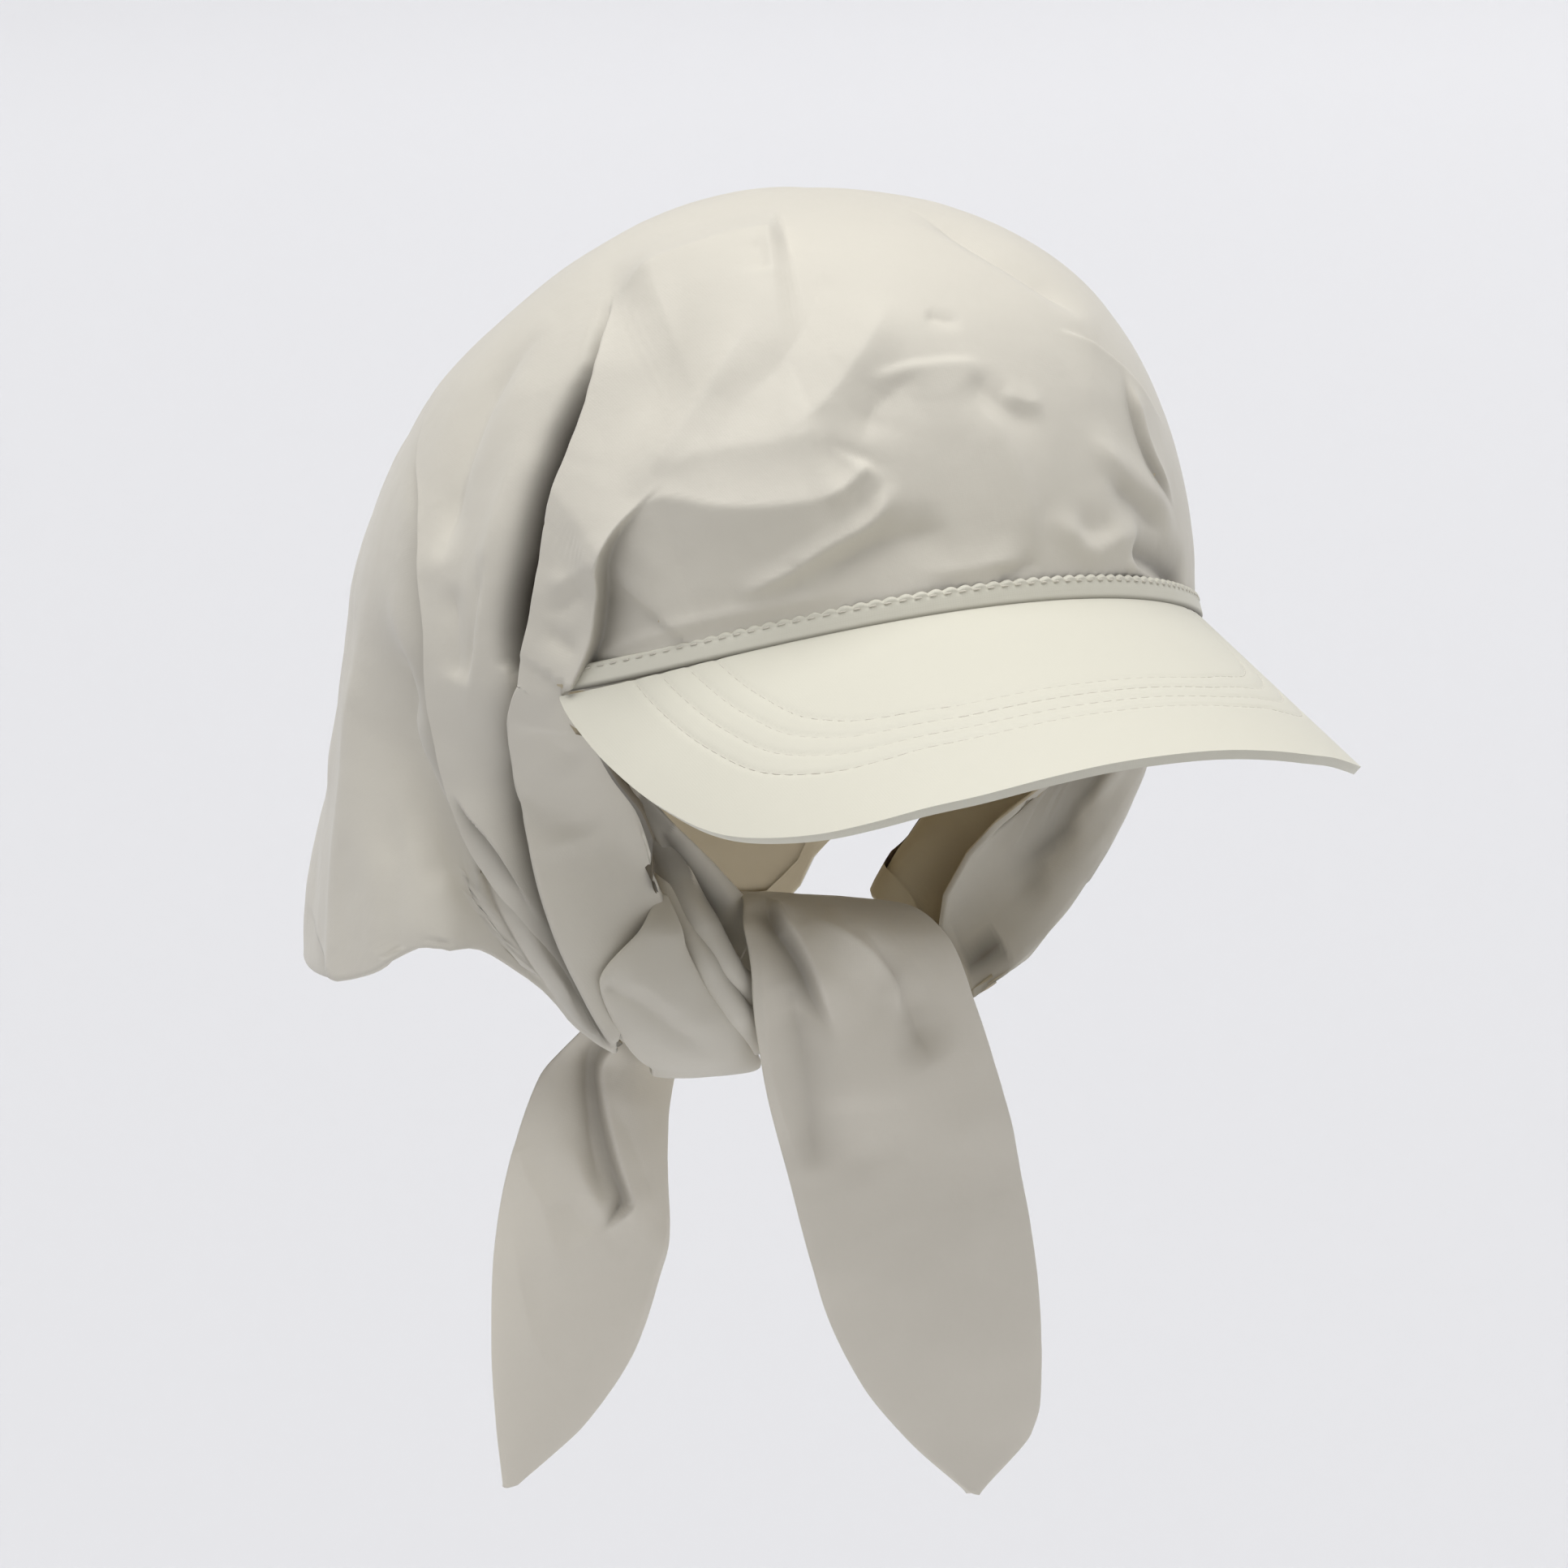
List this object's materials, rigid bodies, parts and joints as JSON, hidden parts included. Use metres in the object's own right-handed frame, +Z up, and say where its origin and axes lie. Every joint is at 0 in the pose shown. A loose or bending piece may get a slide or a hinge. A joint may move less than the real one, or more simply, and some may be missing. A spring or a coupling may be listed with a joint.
{
  "type": "flap cap",
  "caption": "Soft cap of light cloth with a curved stitched peak, a long neck flap and side sweeps tied in a knot below the face.",
  "frame": {"origin": "centre of the head opening, where the cap sits on a head", "axes": "+Z up, -Y towards the peak, +X to the wearer's left"},
  "size_m": [0.1715, 0.2782, 0.2779],
  "materials": {
    "shell_cloth": "plain woven nylon with a soft sheen",
    "peak_cloth": "the same nylon, taut over a board and topstitched"
  },
  "bodies": {
    "root": {"hood": "shell_cloth", "peak": "peak_cloth", "seam_band": "peak_cloth", "knot": "shell_cloth", "front_tail": "shell_cloth", "rear_tail": "shell_cloth"}
  },
  "joints": []
}
